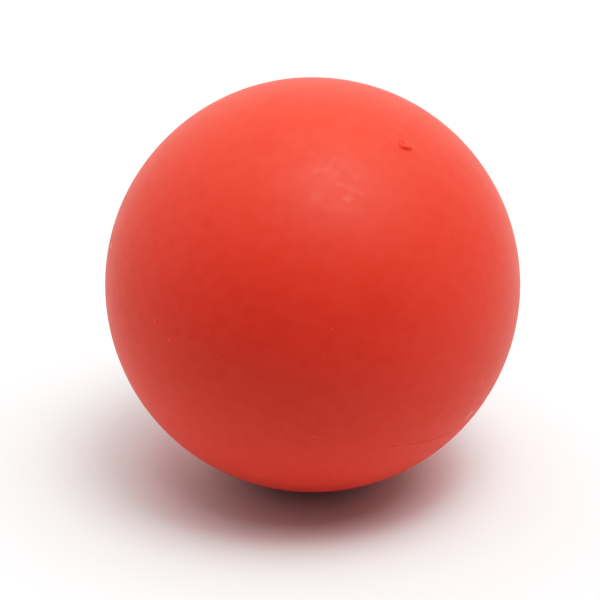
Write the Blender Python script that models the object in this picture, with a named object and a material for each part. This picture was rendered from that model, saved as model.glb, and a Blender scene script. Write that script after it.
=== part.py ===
"""Solid rubber massage ball: a single moulding, turned about the axis of its two-part mould.

Metres, +Z up. The origin is the centre of the ball, which rests on the plane
z = -BALL_DIAMETER / 2. The mould axis runs from the centre through the gate pip, and the
parting ridge, where the two halves of the mould meet, is the great circle square to it.
"""

import math

import bmesh
import bpy

# The ball, in metres
BALL_DIAMETER = 0.0635
PARTING_RIDGE_WIDTH = 0.0006
PARTING_RIDGE_HEIGHT = 0.00008
GATE_PIP_DIAMETER = 0.0022
GATE_PIP_HEIGHT = 0.00036

# How the ball lies: the mould axis leans from +Z, towards a heading turned from +X
MOULD_AXIS_LEAN = math.radians(31)
MOULD_AXIS_HEADING = math.radians(-34)

# Facets
STEPS_AROUND = 96
STEPS_PER_HALF = 24
PIP_STEPS = 3

# Rubber, as linear colour
RUBBER_COLOUR = (0.71, 0.067, 0.040, 1.0)
RUBBER_ROUGHNESS = 0.47

BALL_RADIUS = BALL_DIAMETER / 2
MERGE_DISTANCE = 1e-7


def clear_scene():
    for old in list(bpy.data.objects):
        bpy.data.objects.remove(old)


def rubber_material():
    material = bpy.data.materials.new("rubber")
    material.use_nodes = True
    shader = material.node_tree.nodes["Principled BSDF"]
    shader.inputs["Base Color"].default_value = RUBBER_COLOUR
    shader.inputs["Roughness"].default_value = RUBBER_ROUGHNESS
    shader.inputs["Metallic"].default_value = 0.0
    return material


def on_profile(angle, radius):
    """A point of the half outline, at this angle from the pole with the gate pip."""
    return (radius * math.sin(angle), 0.0, radius * math.cos(angle))


def arc(start, end, steps):
    """Points of the ball's plain round outline, both ends included."""
    angles = (start + (end - start) * step / steps for step in range(steps + 1))
    return [on_profile(angle, BALL_RADIUS) for angle in angles]


def gate_pip():
    """A low dome at the pole, down to just short of the ball's surface."""
    edge = math.asin(GATE_PIP_DIAMETER / 2 / BALL_RADIUS)
    points = []
    for step in range(PIP_STEPS):
        share = step / PIP_STEPS
        height = GATE_PIP_HEIGHT * math.cos(share * math.pi / 2)
        points.append(on_profile(edge * share, BALL_RADIUS + height))
    return points, edge


def half_outline():
    """The outline from the gate pip's pole, over the parting ridge, to the far pole."""
    pip, pip_edge = gate_pip()
    equator = math.pi / 2
    ridge_half = PARTING_RIDGE_WIDTH / 2 / BALL_RADIUS
    ridge_crest = on_profile(equator, BALL_RADIUS + PARTING_RIDGE_HEIGHT)
    upper_half = arc(pip_edge, equator - ridge_half, STEPS_PER_HALF)
    lower_half = arc(equator + ridge_half, math.pi, STEPS_PER_HALF)
    return [*pip, *upper_half, ridge_crest, *lower_half]


def turned_mesh(name, outline):
    """The closed surface that the outline sweeps around the local Z axis."""
    shape = bmesh.new()
    points = [shape.verts.new(point) for point in outline]
    edges = [shape.edges.new(pair) for pair in zip(points, points[1:])]
    bmesh.ops.spin(
        shape,
        geom=points + edges,
        cent=(0.0, 0.0, 0.0),
        axis=(0.0, 0.0, 1.0),
        angle=math.tau,
        steps=STEPS_AROUND,
        use_duplicate=False,
    )
    bmesh.ops.remove_doubles(shape, verts=shape.verts, dist=MERGE_DISTANCE)
    bmesh.ops.recalc_face_normals(shape, faces=shape.faces)
    mesh = bpy.data.meshes.new(name)
    shape.to_mesh(mesh)
    shape.free()
    mesh.shade_smooth()
    return mesh


def rubber_ball():
    """The whole ball: solid rubber right through, with its mould's marks on the outside."""
    ball = bpy.data.objects.new("rubber_ball", turned_mesh("rubber_ball", half_outline()))
    ball.rotation_euler = (0.0, MOULD_AXIS_LEAN, MOULD_AXIS_HEADING)
    ball.data.materials.append(rubber_material())
    bpy.context.scene.collection.objects.link(ball)
    return ball


clear_scene()
rubber_ball()
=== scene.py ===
"""The looks of the rubber massage ball: its moulded skin, and a plain studio to see it in.

The ball is one moulding. Its skin is built here as one closed mesh, in the axes of its mould:
+Z runs from the centre to the gate, where the rubber went in, and the two halves of the mould
met close to latitude 0. Longitude 0 is where latitude 0 comes lowest as the ball lies.
"""

import math

import bpy
import numpy as np
from mathutils import Euler, Matrix, Vector, noise


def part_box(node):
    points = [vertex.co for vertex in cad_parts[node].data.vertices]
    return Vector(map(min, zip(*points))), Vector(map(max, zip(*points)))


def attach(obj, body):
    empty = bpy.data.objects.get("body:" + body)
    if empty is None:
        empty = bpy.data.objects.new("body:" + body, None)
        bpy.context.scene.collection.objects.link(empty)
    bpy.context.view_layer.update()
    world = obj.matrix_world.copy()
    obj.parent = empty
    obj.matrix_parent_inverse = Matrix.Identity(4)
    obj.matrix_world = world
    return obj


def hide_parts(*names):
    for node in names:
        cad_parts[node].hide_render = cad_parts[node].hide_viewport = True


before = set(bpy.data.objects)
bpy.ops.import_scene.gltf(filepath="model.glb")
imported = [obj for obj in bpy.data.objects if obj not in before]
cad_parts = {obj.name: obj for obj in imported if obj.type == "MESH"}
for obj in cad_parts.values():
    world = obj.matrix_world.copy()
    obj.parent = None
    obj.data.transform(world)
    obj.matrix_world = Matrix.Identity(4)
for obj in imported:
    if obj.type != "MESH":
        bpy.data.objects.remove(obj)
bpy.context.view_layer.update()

MM = 0.001

# Mesh rows, in millimetres along the skin: closest at the gate and at the parting line
FINE_ROW = 0.05
WIDE_ROW = 0.60
ROW_GROWTH = 0.25
GATE_ZONE = 1.7
PARTING_ZONE = 0.40
FEWEST_AROUND = 96
LONGEST_TO_ROW = 1.8
LONGEST_EXTRA = 0.05

# The parting line runs a little above the mould's equator, and highest on one side
PARTING_RISE = math.radians(0.50)
PARTING_SWING = math.radians(0.45)
PARTING_HIGH_SIDE = math.radians(0)

# Parting line, sizes in millimetres: the lower half stands a little proud, its trimmed edge rubbed pale and
# given a painted highlight where the flash catches light
LEDGE_HEIGHT = 0.015
LEDGE_WIDTH = 0.10
LEDGE_REACH = 8.0
FLASH_HEIGHT = 0.015
FLASH_WIDTH = 0.08
FLASH_PATCH = 1.6
FLASH_PATCHINESS = 0.8
PATCHES_REACH = 0.40
RUBBED_HIGHLIGHT_SHARE = 0.32
RUBBED_HIGHLIGHT_PATCHINESS = 0.7
RUBBED_HIGHLIGHT_BY_REMNANT = 6.0

# Stretches where the flash tore off and left a crease, which also gets painted shade: middle and half
# length in degrees of longitude
CREASES = ((-27.6, 1.6), (-21.4, 1.4), (-10.5, 13.5), (100.0, 26.0), (171.0, 9.0))
CREASE_ABOVE = 0.25
CREASE_DEPTH = 0.05
CREASE_WIDTH = 0.12
CREASE_PATCHINESS = 0.3
CREASE_ENDS = (0.5, 1.1)

# Flash that was left standing where the rest was trimmed: longitude in degrees, length, height
FLASH_REMNANTS = (
    (-151.0, 0.50, 0.14),
    (-105.3, 0.45, 0.20),
    (-98.5, 0.50, 0.22),
    (-63.0, 0.35, 0.12),
    (-59.5, 0.35, 0.12),
    (-51.6, 0.30, 0.10),
    (-47.5, 0.30, 0.10),
    (38.0, 0.30, 0.09),
    (71.0, 0.55, 0.12),
    (128.0, 0.40, 0.12),
    (150.0, 0.35, 0.10),
)
REMNANT_WIDTH = 0.16

# Gate mark, sizes in millimetres: a torn stub, a little off the pole, with a slit, and painted shade of
# deeper red at its foot on its low side.
# Its outline is a rounded triangle, drawn out a little one way, and its flank is gentlest on one side
GATE_OFF_POLE = (-0.17, 0.01)
GATE_RADIUS = 0.98
GATE_CORNERED = 0.125
GATE_CORNER = math.radians(-96)
GATE_DRAWN_OUT = 0.075
GATE_LONG_WAY = math.radians(-21)
GATE_FLANK = 0.42
GATE_FLANK_SPREAD = 0.80
GATE_GENTLE_SIDE = math.radians(0)
GATE_HEIGHT = 0.31
GATE_TILT = 0.085
GATE_HIGH_SIDE = math.radians(-15)
GATE_TEAR = 0.09
GATE_TEAR_SIZE = 0.30
GATE_EDGE_TEAR = 0.04
GATE_SHADE_WIDTH = 0.375
GATE_SHADE_SIDE = math.radians(-59)
SLIT_START = (-0.81, 0.03)
SLIT_END = (-0.29, -0.24)
SLIT_WIDTH = 0.09
SLIT_DEPTH = 0.21

# The skin isn't a perfect sphere: two sizes of soft unevenness, each as (size, height) in millimetres
UNEVENNESS = ((14.0, 0.030), (4.5, 0.005))

# Marks of handling, by mould latitude and longitude in degrees, size in millimetres, and strength.
# Stains and specks have one point; a smear is a stroke from one point to another
STAINS = (
    (32, -125, 0.9, 0.8),
    (30, -115, 1.7, 1.0),
    (33, -117, 0.8, 0.6),
    (18.5, -118, 1.1, 0.8),
    (38, -98, 0.8, 0.6),
    (33, -93, 0.5, 1.0),
    (53, -75, 0.7, 0.7),
    (9, -110, 0.9, 0.6),
    (7, -94, 1.0, 0.8),
    (4.5, -98, 1.2, 0.6),
    (24, -79, 0.7, 0.6),
    (36, -59, 0.9, 0.6),
    (28, -62, 0.7, 0.6),
    (28, -51, 1.1, 0.8),
    (20, -64, 1.2, 0.8),
    (44, -50, 5.0, 0.6),
    (71, -76, 0.7, 0.8),
    (81, -45, 0.7, 0.8),
    (52, 38, 1.0, 0.7),
    (23, 62, 0.8, 0.8),
    (34, 95, 1.6, 0.7),
    (12, 118, 0.9, 0.6),
    (-14, 84, 1.2, 0.7),
    (-22, 150, 0.8, 0.8),
    (41, 163, 1.3, 0.6),
    (8, -172, 0.9, 0.7),
    (-35, 31, 1.1, 0.6),
    (-48, -70, 0.9, 0.7),
)
SPECKS = (
    (32, -62, 0.25, 1.0),
    (24, -60, 0.20, 1.0),
    (8, -85, 0.25, 0.6),
    (-8.8, -140.2, 0.60, 2.8),
    (-7.9, -140.6, 0.35, 1.2),
    (5.3, 0.6, 0.90, 2.4),
    (4.4, -0.3, 0.80, 2.4),
    (17, -1, 0.40, 1.5),
)
SMEARS = (
    (68.5, -115, 65.5, -108, 0.60, 1.0),
    (65.5, -108, 61.5, -110.5, 0.70, 1.0),
    (65, -102, 69, -106, 0.55, 0.6),
    (69, -106, 70, -92, 0.65, 0.6),
    (64.5, -96, 66.5, -88, 0.55, 0.7),
    (66.5, -88, 67.5, -82, 0.60, 0.8),
    (63.5, -87, 63.5, -84, 0.80, 0.85),
    (60, -86, 62, -75, 0.70, 0.5),
    (57.5, -91, 57.5, -81, 0.50, 0.6),
    (57, -98, 53, -94, 1.40, 0.5),
    (70, -116, 73, -123, 1.30, 0.4),
    (51.5, -123, 57.5, -109, 1.50, 0.3),
    (54, -52, 58.5, -37, 1.80, 0.3),
)

# Rubber, as linear colours; each share says how far a mark takes the rubber to its own colour
RUBBER_RED = (0.700, 0.0591, 0.0312, 1.0)
RUBBER_DEEP = (0.682, 0.0563, 0.0297, 1.0)
RUBBER_CLOUD = (0.708, 0.0643, 0.0373, 1.0)
STAIN_COLOUR = (0.562, 0.0385, 0.0130, 1.0)
SPECK_COLOUR = (0.85, 0.25, 0.18, 1.0)
# Paler edge of the parting line: rubbed wear, and a painted highlight where the flash catches light
RUBBED_HIGHLIGHT_COLOUR = (0.868, 0.099, 0.0607, 1.0)
# Painted shade: the darker red in the parting line's crease
CREASE_SHADE_COLOUR = (0.592, 0.0311, 0.0139, 1.0)
TORN_COLOUR = (0.868, 0.078, 0.052, 1.0)
# Painted shade: the deeper red at the foot of the gate stub, on its low side
STUB_SHADE_COLOUR = (0.789, 0.0275, 0.0104, 1.0)
STAIN_SHARE = 0.35
SPECK_SHARE = 0.25
CREASE_SHADE_SHARE = 0.8
TORN_SHARE = 0.25
STUB_SHADE_SHARE = 0.38
RUBBER_SPECULAR = 0.26
RUBBER_SHEEN = 0.049

# What handling and tearing do to the rubber's roughness
RUBBER_ROUGHNESS = 0.513
SMUDGE_CHANGE = -0.05
SMEAR_CHANGE = -0.12
TORN_CHANGE = 0.1

# How much of a mark's size is solid before it starts to fade
SPECK_CORE = 0.3
SMEAR_CORE = 0.3

# Noise patterns in the rubber: a size or a height is in millimetres, a warp is a size and an amount in
# millimetres, and a range holds the two noise values between which a pattern comes in
MOTTLE_SIZE = 9.0
CLOUD_SIZE = 2.0
MOTTLE_RANGE = (0.35, 0.65)
STAIN_WARP = (0.8, 0.35)
SMEAR_WARP = (1.2, 0.7)
BREAKS_SIZE = 0.8
BREAKS_RANGE = (0.35, 0.60)
SMUDGE_SIZE = 3.2
SMUDGE_SWIRL = 1.6
SMUDGE_RANGE = (0.50, 0.70)
HANDLED_SIZE = 16.0
HANDLED_RANGE = (0.45, 0.65)
GRAIN_SIZE = 0.35
GRAIN_HEIGHT = 0.006
RIPPLE_SIZE = 2.2
RIPPLE_HEIGHT = 0.02

# Studio, in metres and degrees; headings turn from +X, and the camera looks along +Y
CAMERA_ELEVATION = 26.0
CAMERA_TO_RADIUS = 15.0
BALL_SHARE_OF_WIDTH = 0.6923
CAMERA_PAN = 0.258
CAMERA_TILT = 0.281
SENSOR_WIDTH = 36.0
FLOOR_RADIUS = 0.6
FLOOR_CENTRE_BEHIND = 0.48
FLOOR_WHITE = (0.725, 0.725, 0.725, 1.0)
FLOOR_ROUGHNESS = 0.9
LIGHT_HEADING = -41.3
LIGHT_ELEVATION = 76.1
SOFTBOX_DISTANCE = 1.80
SOFTBOX_SIZE = (2.27, 1.47)
SOFTBOX_SPIN = 145.8
SOFTBOX_RADIANCE = 2.94
LAMP_DISTANCE = 1.78
LAMP_SIZE = (0.76, 0.76)
LAMP_RADIANCE = 7.31
DIFFUSER_DISTANCE = 1.5
DIFFUSER_SIZE = (2.62, 8.5)
DIFFUSERS = ((-4.7, 0.583), (77.6, 0.996), (159.9, 1.002))
FILL = 0.054

# How the camera renders tone: darks a little deeper and lights a little lighter than they were
TONE_CURVE = ((0.05, 0.031), (0.21, 0.21), (0.52, 0.61))


def mould_axes():
    """The ball's centre and radius, and the turn from the mould's axes to the world's.

    The gate pip is the point of the CAD ball that is farthest from its centre.
    """
    low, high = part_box("rubber_ball")
    centre = (low + high) / 2
    corners = (corner.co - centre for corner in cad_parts["rubber_ball"].data.vertices)
    axis = max(corners, key=lambda corner: corner.length).normalized()
    turn = Euler((0.0, math.acos(axis.z), math.atan2(axis.y, axis.x)))
    return centre, (high.z - low.z) / 2, np.array(turn.to_matrix())


def row_distances(half_turn):
    """How far down the skin from the gate each row of points lies, in millimetres."""
    distances = []
    down = FINE_ROW
    while down < half_turn - WIDE_ROW / 2:
        distances.append(down)
        down += row_spacing(down, half_turn)
    return distances


def row_spacing(down, half_turn):
    from_gate = down - GATE_ZONE
    from_parting = abs(down - half_turn / 2) - PARTING_ZONE
    clear = max(0.0, min(from_gate, from_parting))
    return min(WIDE_ROW, FINE_ROW + ROW_GROWTH * clear)


def points_around(down, radius, half_turn):
    """How many points a row has: a power of two times the fewest."""
    length = math.tau * radius * math.sin(down / radius)
    longest = LONGEST_TO_ROW * row_spacing(down, half_turn) + LONGEST_EXTRA
    count = FEWEST_AROUND
    while length / count > longest:
        count *= 2
    return count


def stitch(upper, lower):
    """Faces between two rows of points, seen from outside, where one may have twice the other's."""
    faces = []
    if len(upper) == len(lower):
        for here in range(len(upper)):
            after = (here + 1) % len(upper)
            faces.append((upper[here], lower[here], lower[after], upper[after]))
    elif len(upper) < len(lower):
        for here in range(len(upper)):
            after = (here + 1) % len(upper)
            left, middle, right = (lower[(2 * here + step) % len(lower)] for step in range(3))
            faces.append((upper[here], left, middle))
            faces.append((upper[here], middle, upper[after]))
            faces.append((upper[after], middle, right))
    else:
        for here in range(len(lower)):
            after = (here + 1) % len(lower)
            left, middle, right = (upper[(2 * here + step) % len(upper)] for step in range(3))
            faces.append((left, lower[here], middle))
            faces.append((middle, lower[here], lower[after]))
            faces.append((middle, lower[after], right))
    return faces


def fan(pole, row, outward_first):
    """Triangles that close a row of points to a pole."""
    following = row[1:] + row[:1]
    if outward_first:
        return [(pole, here, after) for here, after in zip(row, following)]
    return [(pole, after, here) for here, after in zip(row, following)]


def sphere_grid(radius):
    """Unit directions and faces of a closed round grid with more rows where the detail is."""
    half_turn = math.pi * radius
    polar, longitude = [0.0], [0.0]
    rows = []
    for down in row_distances(half_turn):
        count = points_around(down, radius, half_turn)
        rows.append(list(range(len(polar), len(polar) + count)))
        polar += [down / radius] * count
        longitude += [math.tau * step / count for step in range(count)]
    faces = fan(0, rows[0], True)
    for upper, lower in zip(rows, rows[1:]):
        faces += stitch(upper, lower)
    faces += fan(len(polar), rows[-1], False)
    polar = np.array(polar + [math.pi])
    longitude = np.array(longitude + [0.0])
    polar -= parting_rise(longitude) * np.sin(polar) ** 2
    across = np.sin(polar)
    return np.stack([across * np.cos(longitude), across * np.sin(longitude), np.cos(polar)], axis=1), faces


def parting_rise(longitude):
    """How far above the mould's equator the parting line runs at each longitude, in radians."""
    return PARTING_RISE + PARTING_SWING * np.cos(longitude - PARTING_HIGH_SIDE)


def bell(distance, width):
    return np.exp(-((distance / width) ** 2))


def soft_step(value, low, high):
    share = np.clip((value - low) / (high - low), 0.0, 1.0)
    return share * share * (3 - 2 * share)


def noise_at(points, size):
    """Smooth noise from about -1 to 1, whose features are about this size."""
    return np.array([noise.noise(Vector(point) / size) for point in points])


def unevenness(directions, radius):
    height = np.zeros(len(directions))
    for size, amount in UNEVENNESS:
        height += amount * noise_at(directions * radius, size)
    return height


def parting_line(directions, radius):
    """Height of the parting line's ledge, crease and flash; its pale edge, rubbed and with a painted
    highlight, and the painted shade in its crease, each from 0 to 1.
    """
    longitude = np.arctan2(directions[:, 1], directions[:, 0])
    above = radius * (np.arcsin(directions[:, 2]) - parting_rise(longitude))
    near = np.abs(above) < PATCHES_REACH
    patches = np.zeros(len(directions))
    patches[near] = noise_at(directions[near] * (radius, radius, 0), FLASH_PATCH)

    torn = np.zeros(len(directions))
    for middle, half_length in CREASES:
        away = np.abs(np.degrees(turned(longitude, middle))) / half_length
        torn = np.maximum(torn, 1 - soft_step(away + CREASE_PATCHINESS * patches, *CREASE_ENDS))
    proud = 1 - torn
    remnants = np.zeros(len(directions))
    for middle, length, height in FLASH_REMNANTS:
        remnants += height * bell(turned(longitude, middle) * radius, length / 2)
    remnants *= bell(above, REMNANT_WIDTH)
    # The crease's mask is also where its painted shade goes
    crease_and_shade = torn * bell(above - CREASE_ABOVE, CREASE_WIDTH)
    bead = proud * bell(above, FLASH_WIDTH)

    ledge = LEDGE_HEIGHT / 2 * proud * bell(above, LEDGE_REACH) * np.tanh(2 * above / LEDGE_WIDTH)
    flash = FLASH_HEIGHT * bead * np.clip(0.5 + FLASH_PATCHINESS * patches, 0.0, 1.0)
    # Paler along the proud edge and on the flash remnants: rubbed wear, and a painted highlight where the
    # flash catches light
    rubbed_and_highlight = RUBBED_HIGHLIGHT_SHARE * bead * (1 + RUBBED_HIGHLIGHT_PATCHINESS * patches) + RUBBED_HIGHLIGHT_BY_REMNANT * remnants
    return flash + remnants - ledge - CREASE_DEPTH * crease_and_shade, np.clip(rubbed_and_highlight, 0.0, 1.0), crease_and_shade


def turned(longitude, middle):
    """How far round each longitude is from a middle given in degrees, in radians from -pi to pi."""
    return (longitude - math.radians(middle) + math.pi) % math.tau - math.pi


def gate_mark(directions, radius):
    """Height of the torn stub at the gate; the stub alone and the painted shade at its foot, each as a
    share from 0 to 1.
    """
    on_skin = directions[:, :2] * radius
    across, along = (on_skin - GATE_OFF_POLE).T
    out = np.hypot(across, along)
    near = (out < 2 * GATE_RADIUS) & (directions[:, 2] > 0)
    tear = np.zeros(len(directions))
    tear[near] = noise_at(directions[near] * radius, GATE_TEAR_SIZE)
    way = np.arctan2(along, across)
    corner = GATE_CORNERED * np.cos(3 * (way - GATE_CORNER))
    drawn_out = GATE_DRAWN_OUT * np.cos(2 * (way - GATE_LONG_WAY))
    edge = GATE_RADIUS * (1 + corner + drawn_out + GATE_EDGE_TEAR * tear)
    half_flank = GATE_FLANK / 2 * (1 + GATE_FLANK_SPREAD * np.cos(way - GATE_GENTLE_SIDE))
    stub = (1 - soft_step(out, edge - half_flank, edge + half_flank)) * near
    slit = bell(distance_to_cut(*on_skin.T), SLIT_WIDTH)
    tilt = GATE_TILT * np.cos(way - GATE_HIGH_SIDE) * out / GATE_RADIUS
    top = GATE_HEIGHT + tilt + GATE_TEAR * tear - SLIT_DEPTH * slit
    # Painted shade at the stub's foot, on its low side where its shadow falls
    low_side = np.clip(np.cos(way - GATE_SHADE_SIDE), 0.0, 1.0) ** 2
    stub_shade = bell(out - edge, GATE_SHADE_WIDTH) * low_side * near
    return stub * top, stub, stub_shade


def distance_to_cut(across, along):
    """Distance in millimetres from the slit, which runs straight from its start to its end."""
    run = np.subtract(SLIT_END, SLIT_START)
    from_start = np.stack([across - SLIT_START[0], along - SLIT_START[1]])
    share = np.clip(run @ from_start / (run @ run), 0.0, 1.0)
    return np.hypot(*(from_start - run[:, None] * share))


def rubber_skin():
    """The whole ball as one closed mesh, in millimetres of detail on the CAD ball's radius."""
    centre, radius, turn = mould_axes()
    radius_mm = radius / MM
    directions, faces = sphere_grid(radius_mm)
    parting, rubbed_and_highlight, crease_and_shade = parting_line(directions, radius_mm)
    gate, torn, stub_shade = gate_mark(directions, radius_mm)
    reach = radius_mm + unevenness(directions, radius_mm) + parting + gate
    mesh = bpy.data.meshes.new("moulded_ball")
    corners = (directions * reach[:, None] * MM) @ turn.T
    mesh.from_pydata(corners.tolist(), [], faces)
    for name, values in (("rubbed_and_highlight", rubbed_and_highlight), ("crease_and_shade", crease_and_shade), ("torn", torn), ("stub_shade", stub_shade)):
        layer = mesh.attributes.new(name, "FLOAT", "POINT")
        layer.data.foreach_set("value", values.astype(np.float32))
    mesh.shade_smooth()
    mesh.materials.append(rubber_material())
    ball = bpy.data.objects.new("moulded_ball", mesh)
    ball.location = centre
    bpy.context.scene.collection.objects.link(ball)
    return ball


def add(tree, kind, inputs=None, **settings):
    """A new shader node. An input is a number, a colour, or another node's socket."""
    made = tree.nodes.new(kind)
    for name, value in settings.items():
        setattr(made, name, value)
    for key, value in (inputs or {}).items():
        if isinstance(value, bpy.types.NodeSocket):
            tree.links.new(value, made.inputs[key])
        else:
            made.inputs[key].default_value = value
    return made


def remap(tree, value, low, high, to_low=0.0, to_high=1.0):
    """A value stretched from one range to another, eased at both ends."""
    inputs = {"Value": value, "From Min": low, "From Max": high, "To Min": to_low, "To Max": to_high}
    return add(tree, "ShaderNodeMapRange", inputs, interpolation_type="SMOOTHSTEP").outputs["Result"]


def blend(tree, share, first, second):
    """One colour mixed into another by a share from 0 to 1."""
    inputs = {"Factor": share, 6: first, 7: second}
    return add(tree, "ShaderNodeMix", inputs, data_type="RGBA").outputs[2]


def product(tree, first, second):
    return add(tree, "ShaderNodeMath", {0: first, 1: second}, operation="MULTIPLY").outputs[0]


def total(tree, first, second):
    return add(tree, "ShaderNodeMath", {0: first, 1: second}, operation="ADD").outputs[0]


def noise_field(tree, place, size, detail=2.0, distortion=0.0):
    """Noise whose features are about this many millimetres."""
    inputs = {"Vector": place, "Scale": 1 / size, "Detail": detail, "Distortion": distortion}
    return add(tree, "ShaderNodeTexNoise", inputs).outputs["Fac"]


def combine(tree, operation, *inputs):
    """A vector operation's node."""
    return add(tree, "ShaderNodeVectorMath", dict(enumerate(inputs)), operation=operation)


def scaled(tree, place, by):
    return add(tree, "ShaderNodeVectorMath", {0: place, "Scale": by}, operation="SCALE").outputs[0]


def attribute(tree, name):
    return add(tree, "ShaderNodeAttribute", attribute_name=name).outputs["Fac"]


def warped(tree, place, size, amount):
    """The place pushed about by noise of this size, by up to about this many millimetres."""
    push = add(tree, "ShaderNodeTexNoise", {"Vector": place, "Scale": 1 / size}).outputs["Color"]
    drawn_back = combine(tree, "SUBTRACT", place, (amount / 2,) * 3).outputs[0]
    return combine(tree, "MULTIPLY_ADD", push, (amount,) * 3, drawn_back).outputs[0]


def skin_point(latitude, longitude):
    """A point of the skin by its mould latitude and longitude, in millimetres from the centre."""
    _, radius, turn = mould_axes()
    return Vector(turn @ towards(longitude, latitude)) * radius / MM


def marks(tree, distances, marked, core):
    """One field from many: at each place the strongest mark. Each fades from its core out to its size.

    A mark's last two numbers are its size and strength, and its core is a share of its size.
    """
    field = 0.0
    for distance, mark in zip(distances, marked):
        size, strength = mark[-2:]
        here = remap(tree, distance, size, core * size, 0.0, strength)
        field = add(tree, "ShaderNodeMath", {0: field, 1: here}, operation="MAXIMUM").outputs[0]
    return field


def distance_to_point(tree, place, point):
    return combine(tree, "DISTANCE", place, point).outputs["Value"]


def distance_to_stroke(tree, place, start, end):
    run = end - start
    from_start = combine(tree, "SUBTRACT", place, start).outputs[0]
    share = combine(tree, "DOT_PRODUCT", from_start, run / run.length_squared).outputs["Value"]
    share = add(tree, "ShaderNodeClamp", {"Value": share}).outputs[0]
    reached = scaled(tree, run, share)
    return combine(tree, "DISTANCE", from_start, reached).outputs["Value"]


def rubber_colour(tree, place):
    """Mottled red with the marks of handling, the parting line and the gate laid over it in turn."""
    mottle = noise_field(tree, place, MOTTLE_SIZE, detail=3.0)
    colour = blend(tree, remap(tree, mottle, *MOTTLE_RANGE), RUBBER_DEEP, RUBBER_RED)
    cloud = noise_field(tree, place, CLOUD_SIZE, detail=4.0)
    colour = blend(tree, remap(tree, cloud, *MOTTLE_RANGE), colour, RUBBER_CLOUD)
    uneven = warped(tree, place, *STAIN_WARP)
    stains = [distance_to_point(tree, uneven, skin_point(*stain[:2])) for stain in STAINS]
    stain = marks(tree, stains, STAINS, 0.0)
    colour = blend(tree, product(tree, stain, STAIN_SHARE), colour, STAIN_COLOUR)
    specks = [distance_to_point(tree, place, skin_point(*speck[:2])) for speck in SPECKS]
    speck = marks(tree, specks, SPECKS, SPECK_CORE)
    colour = blend(tree, product(tree, speck, SPECK_SHARE), colour, SPECK_COLOUR)
    # Rubbed wear and a painted highlight along the parting line's proud edge
    colour = blend(tree, attribute(tree, "rubbed_and_highlight"), colour, RUBBED_HIGHLIGHT_COLOUR)
    # Painted shade in the parting line's crease
    colour = blend(tree, product(tree, attribute(tree, "crease_and_shade"), CREASE_SHADE_SHARE), colour, CREASE_SHADE_COLOUR)
    colour = blend(tree, product(tree, attribute(tree, "torn"), TORN_SHARE), colour, TORN_COLOUR)
    # Painted shade at the foot of the gate stub
    return blend(tree, product(tree, attribute(tree, "stub_shade"), STUB_SHADE_SHARE), colour, STUB_SHADE_COLOUR)


def rubber_roughness(tree, place):
    """Matte, a little less so where it was smudged or smeared, and more so where it tore."""
    feathered = warped(tree, place, *SMEAR_WARP)
    smears = [
        distance_to_stroke(tree, feathered, skin_point(*smear[:2]), skin_point(*smear[2:4]))
        for smear in SMEARS
    ]
    smear = marks(tree, smears, SMEARS, SMEAR_CORE)
    breaks = noise_field(tree, place, BREAKS_SIZE, detail=4.0)
    smear = product(tree, smear, remap(tree, breaks, *BREAKS_RANGE))
    smudge = noise_field(tree, place, SMUDGE_SIZE, detail=3.0, distortion=SMUDGE_SWIRL)
    handled = remap(tree, noise_field(tree, place, HANDLED_SIZE), *HANDLED_RANGE)
    smudge = product(tree, remap(tree, smudge, *SMUDGE_RANGE), handled)
    roughness = total(tree, product(tree, smudge, SMUDGE_CHANGE), RUBBER_ROUGHNESS)
    roughness = total(tree, roughness, product(tree, smear, SMEAR_CHANGE))
    return total(tree, roughness, product(tree, attribute(tree, "torn"), TORN_CHANGE))


def rubber_relief(tree, place):
    """Fine moulded grain on a slight ripple, as a normal."""
    grain = product(tree, noise_field(tree, place, GRAIN_SIZE, detail=3.0), GRAIN_HEIGHT)
    ripple = product(tree, noise_field(tree, place, RIPPLE_SIZE, detail=1.0), RIPPLE_HEIGHT)
    height = total(tree, grain, ripple)
    return add(tree, "ShaderNodeBump", {"Height": height, "Distance": MM}).outputs["Normal"]


def rubber_material():
    """Matte red rubber: mottled, smudged by handling, faintly stained, with a fine moulded grain."""
    material = bpy.data.materials.new("moulded_rubber")
    material.use_nodes = True
    tree = material.node_tree
    shader = tree.nodes["Principled BSDF"]
    place = add(tree, "ShaderNodeTexCoord").outputs["Object"]
    place = scaled(tree, place, 1 / MM)
    tree.links.new(rubber_colour(tree, place), shader.inputs["Base Color"])
    tree.links.new(rubber_roughness(tree, place), shader.inputs["Roughness"])
    tree.links.new(rubber_relief(tree, place), shader.inputs["Normal"])
    shader.inputs["Specular IOR Level"].default_value = RUBBER_SPECULAR
    shader.inputs["Sheen Weight"].default_value = RUBBER_SHEEN
    return material


def towards(heading, elevation):
    """Unit direction at this heading and elevation, in degrees."""
    heading, elevation = math.radians(heading), math.radians(elevation)
    level = math.cos(elevation)
    return Vector((level * math.cos(heading), level * math.sin(heading), math.sin(elevation)))


def area_light(name, shape, size, radiance, spot, aim, spin=0.0):
    """Hangs an area light of this radiance at a spot, facing a point; the camera doesn't see it."""
    light = bpy.data.lights.new(name, "AREA")
    light.shape = shape
    light.size, light.size_y = size
    covers = math.pi / 4 if shape == "ELLIPSE" else 1.0
    light.energy = math.pi * radiance * covers * light.size * light.size_y
    lamp = bpy.data.objects.new(name, light)
    lamp.location = spot
    facing = (aim - spot).to_track_quat("-Z", "Y").to_matrix()
    lamp.rotation_euler = (facing @ Matrix.Rotation(math.radians(spin), 3, "Z")).to_euler()
    lamp.visible_camera = False
    bpy.context.scene.collection.objects.link(lamp)


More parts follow.
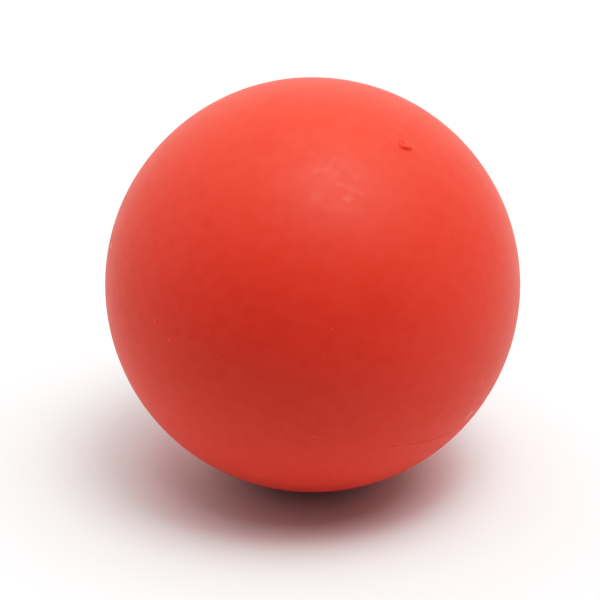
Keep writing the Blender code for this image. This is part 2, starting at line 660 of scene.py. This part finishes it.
def overhead_lights(centre):
    """A long oval softbox nearly overhead, brightest at its middle."""
    way = towards(LIGHT_HEADING, LIGHT_ELEVATION)
    softbox = centre + SOFTBOX_DISTANCE * way
    area_light("softbox", "ELLIPSE", SOFTBOX_SIZE, SOFTBOX_RADIANCE, softbox, centre, SOFTBOX_SPIN)
    area_light("lamp", "ELLIPSE", LAMP_SIZE, LAMP_RADIANCE, centre + LAMP_DISTANCE * way, centre)


def diffusers(centre, floor_height):
    """White diffusers that stand on the floor in an arc behind the ball, each by heading and radiance."""
    middle = Vector((centre.x, centre.y, floor_height + DIFFUSER_SIZE[1] / 2))
    for heading, radiance in DIFFUSERS:
        spot = middle + DIFFUSER_DISTANCE * towards(heading, 0.0)
        area_light("diffuser", "RECTANGLE", DIFFUSER_SIZE, radiance, spot, middle)


def studio_world():
    """White to the camera, and almost no light of its own."""
    world = bpy.data.worlds.new("studio")
    world.use_nodes = True
    tree = world.node_tree
    fill = tree.nodes["Background"]
    fill.inputs["Color"].default_value = (1.0, 1.0, 1.0, 1.0)
    fill.inputs["Strength"].default_value = FILL
    white = add(tree, "ShaderNodeBackground", {"Color": (1.0, 1.0, 1.0, 1.0), "Strength": 1.0})
    seen = add(tree, "ShaderNodeLightPath").outputs["Is Camera Ray"]
    mixed = add(tree, "ShaderNodeMixShader", {0: seen, 1: fill.outputs[0], 2: white.outputs[0]})
    tree.links.new(mixed.outputs[0], tree.nodes["World Output"].inputs["Surface"])
    bpy.context.scene.world = world


def floor_material():
    """Plain white paper."""
    material = bpy.data.materials.new("white_paper")
    material.use_nodes = True
    tree = material.node_tree
    shader = tree.nodes["Principled BSDF"]
    shader.inputs["Base Color"].default_value = FLOOR_WHITE
    shader.inputs["Roughness"].default_value = FLOOR_ROUGHNESS
    shader.inputs["Specular IOR Level"].default_value = 0.0
    return material


def floor(centre, height):
    """A round sheet of white paper, level with the lowest point of the ball."""
    bpy.ops.mesh.primitive_circle_add(
        vertices=128,
        radius=FLOOR_RADIUS,
        fill_type="NGON",
        location=(centre.x, centre.y + FLOOR_CENTRE_BEHIND, height),
    )
    sheet = bpy.context.object
    sheet.name = "paper_floor"
    sheet.data.materials.append(floor_material())


def camera(centre, radius):
    """A long lens in front of the ball, a little above it, set so that the ball fills the frame."""
    distance = CAMERA_TO_RADIUS * radius
    half_ball = math.asin(1 / CAMERA_TO_RADIUS)
    lens = bpy.data.cameras.new("camera")
    lens.sensor_width = SENSOR_WIDTH
    lens.lens = BALL_SHARE_OF_WIDTH * SENSOR_WIDTH / 2 / math.tan(half_ball)
    lens.clip_start = distance / 10
    eye = bpy.data.objects.new("camera", lens)
    eye.location = centre + distance * towards(-90.0, CAMERA_ELEVATION)
    tilt = 90.0 - CAMERA_ELEVATION - CAMERA_TILT
    eye.rotation_euler = (math.radians(tilt), 0.0, math.radians(CAMERA_PAN))
    bpy.context.scene.collection.objects.link(eye)
    bpy.context.scene.camera = eye


def tone():
    view = bpy.context.scene.view_settings
    view.view_transform = "Standard"
    view.use_curve_mapping = True
    combined = view.curve_mapping.curves[3]
    for darker, lighter in TONE_CURVE:
        combined.points.new(darker, lighter)
    view.curve_mapping.update()


ball = rubber_skin()
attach(ball, "root")
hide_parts("rubber_ball")

centre, radius, _ = mould_axes()
floor(centre, centre.z - radius)
overhead_lights(centre)
diffusers(centre, centre.z - radius)
studio_world()
camera(centre, radius)
tone()
